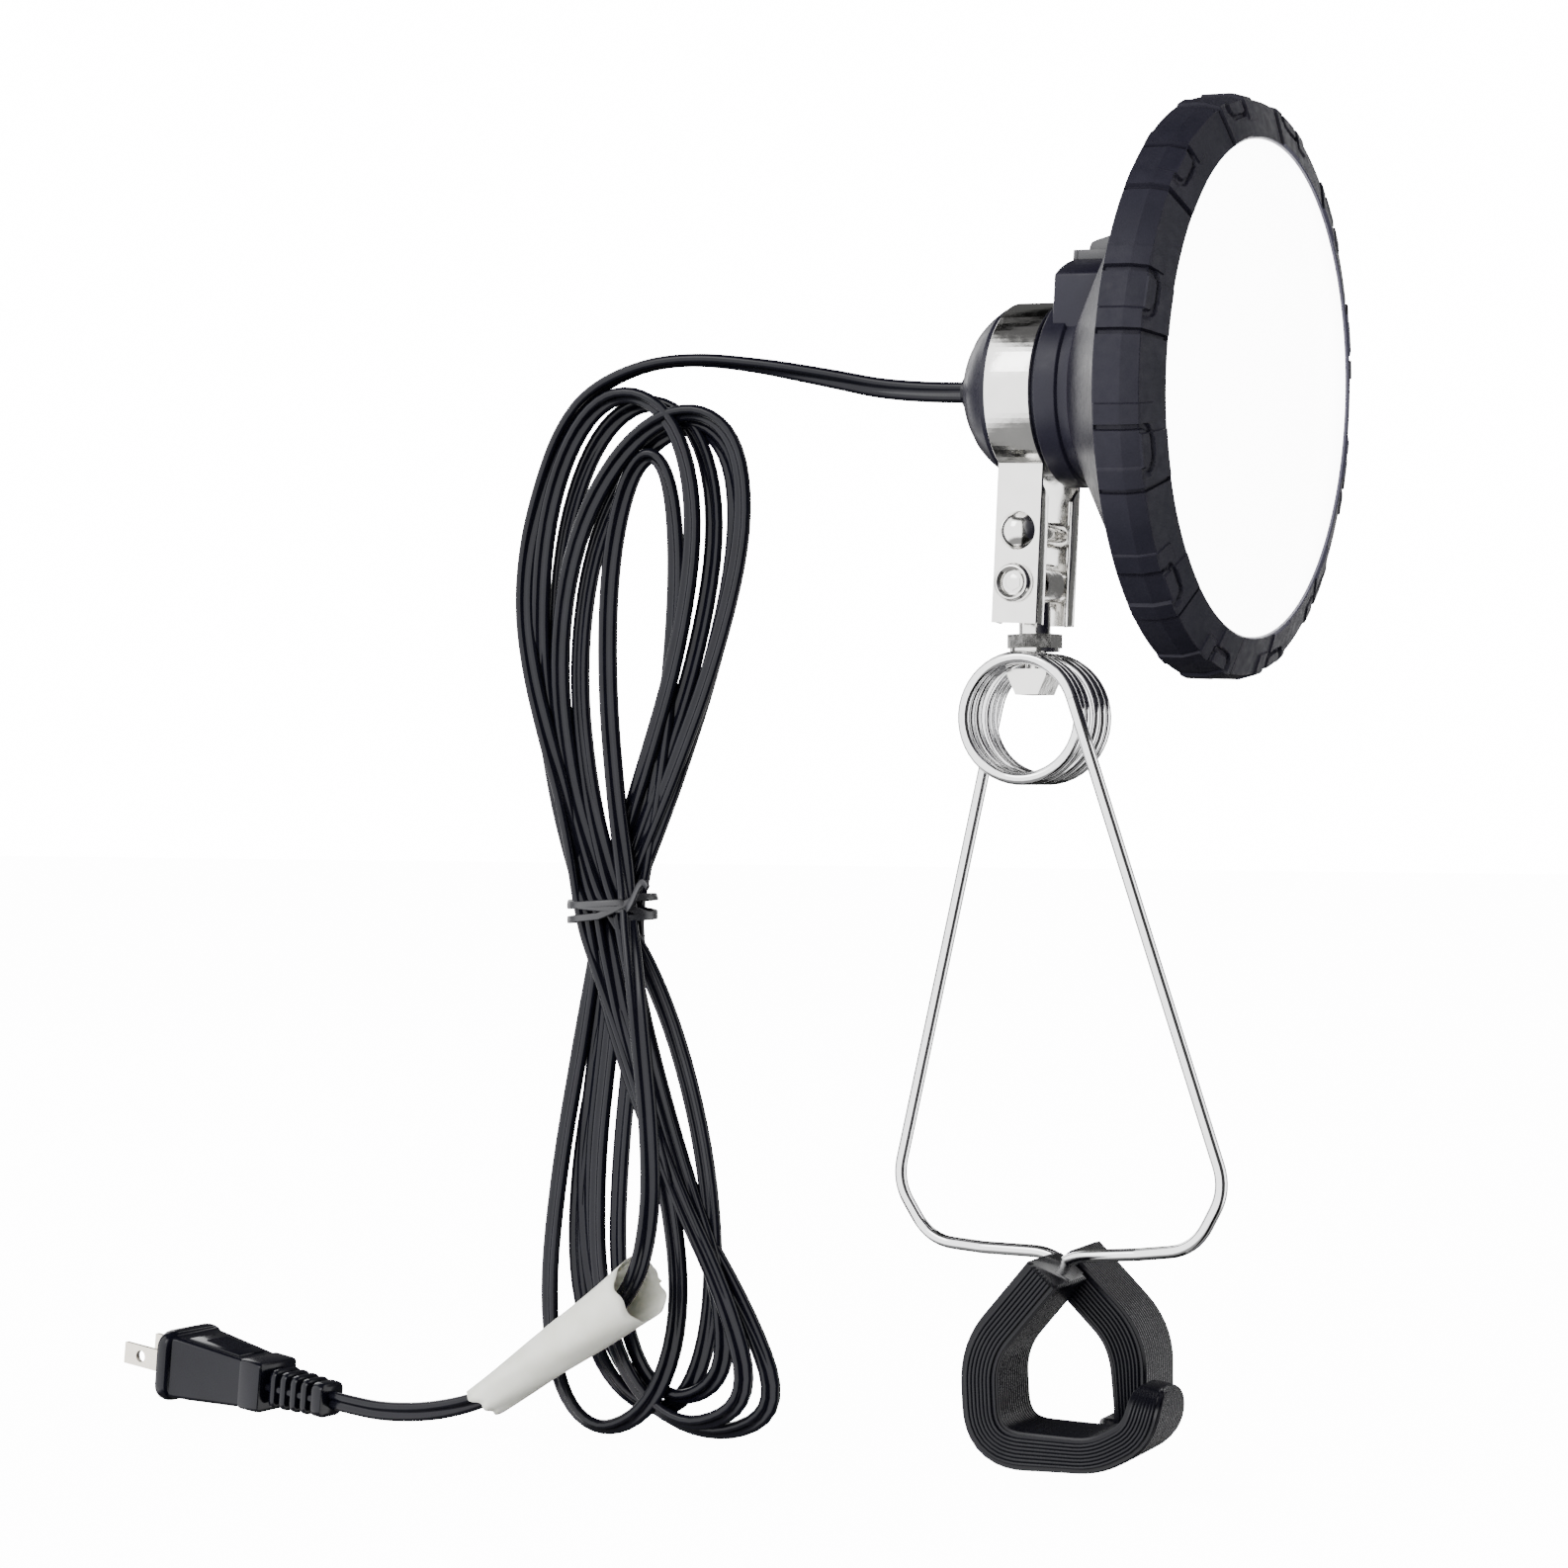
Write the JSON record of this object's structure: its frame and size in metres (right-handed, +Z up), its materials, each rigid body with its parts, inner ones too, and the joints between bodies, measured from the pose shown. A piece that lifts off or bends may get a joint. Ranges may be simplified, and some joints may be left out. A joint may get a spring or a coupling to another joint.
{
  "type": "clamp work light",
  "caption": "Clamp work light: dished LED head with rubber bumper ring on a tilting swivel, wire spring clamp with ribbed jaw sleeves, and a tied mains cord with a plug.",
  "frame": {"origin": "middle of the jaws' grip, between the two sleeves", "axes": "+Z up along the swivel stud, +X where the lens faces with the swivel square (it rests 3.2 degrees off), +Y along the spring coil"},
  "size_m": [0.3649, 0.1506, 0.3609],
  "materials": {
    "housing_plastic": "satin black moulded plastic, fine texture",
    "bumper_rubber": "matte black moulded rubber",
    "lens": "frosted white diffuser",
    "switch_plastic": "satin black plastic",
    "zinc": "bright zinc plate",
    "spring_chrome": "bright nickel plate",
    "jaw_vinyl": "matte black vinyl, ribbed",
    "cord_vinyl": "satin black vinyl",
    "tie": "plastic coated wire",
    "label_paper": "cream paper film",
    "blade_brass": "nickel washed brass",
    "circuit_board": "white solder mask",
    "aluminium_plate": "mill finish",
    "electronics": "mixed components",
    "led": "yellow phosphor"
  },
  "bodies": {
    "clamp_core": {"saddle_bolt": "zinc", "coil_front_turns": "spring_chrome", "coil_rear_turns": "spring_chrome"},
    "front_arm": {"front_spring_arm": "spring_chrome", "front_jaw_sleeve": "jaw_vinyl"},
    "rear_arm": {"rear_spring_arm": "spring_chrome", "rear_jaw_sleeve": "jaw_vinyl"},
    "swivel": {"swivel_tongue": "zinc", "lock_nut": "zinc", "swivel_washer": "zinc", "cord_lead": "cord_vinyl", "cord_hank": "cord_vinyl", "hank_tie": "tie", "cord_tail": "cord_vinyl", "cord_label": "label_paper", "plug_body": "cord_vinyl", "plug_blades": "blade_brass"},
    "head": {"bumper_ring": "bumper_rubber", "diffuser_lens": "lens", "lens_gasket": "bumper_rubber", "led_board": "circuit_board", "led_chips": "led", "heat_spreader": "aluminium_plate", "board_screws": "zinc", "driver_board": "circuit_board", "driver_components": "electronics", "driver_posts": "zinc", "rear_housing": "housing_plastic", "rear_cap": "housing_plastic", "cord_grommet": "cord_vinyl", "cord_anchor": "switch_plastic", "switch_plate": "switch_plastic", "switch_body": "switch_plastic", "neck_strap": "zinc", "strap_screw": "zinc", "strap_nut": "zinc", "strap_spacer": "zinc", "tilt_screw": "zinc", "tilt_nut": "zinc", "tilt_bushes": "zinc"},
    "switch_rocker": {"switch_rocker": "switch_plastic"}
  },
  "joints": [
    {"name": "front_arm_squeeze", "type": "hinge", "parent": "clamp_core", "child": "front_arm", "pos_m": [-0.00853, 0, 0.17439], "axis": [0, 1, 0], "range_deg": [0, 9], "stiffness_Nm_per_rad": 8, "springref_deg": -14.32, "deforming": ["coil_front_turns"]},
    {"name": "rear_arm_squeeze", "type": "hinge", "parent": "clamp_core", "child": "rear_arm", "pos_m": [-0.00853, 0, 0.17439], "axis": [0, 1, 0], "range_deg": [-9, 0], "stiffness_Nm_per_rad": 8, "springref_deg": 14.32, "deforming": ["coil_rear_turns"]},
    {"name": "head_swivel", "type": "hinge", "parent": "clamp_core", "child": "swivel", "pos_m": [-0.00853, 0, 0.17439], "axis": [0, 0, 1], "range_deg": [-90, 90]},
    {"name": "head_tilt", "type": "hinge", "parent": "swivel", "child": "head", "pos_m": [-0.00853, 0, 0.20999], "axis": [0.0558, 0.9984, 0], "range_deg": [-45, 22], "deforming": ["cord_lead"]},
    {"name": "switch_rock", "type": "hinge", "parent": "head", "child": "switch_rocker", "pos_m": [0.01255, -0.00118, 0.29356], "axis": [0.0558, 0.9984, 0], "range_deg": [0, 12]}
  ],
  "couplings": [
    {"joint": "rear_arm_squeeze", "follows": "front_arm_squeeze", "ratio": -1}
  ]
}
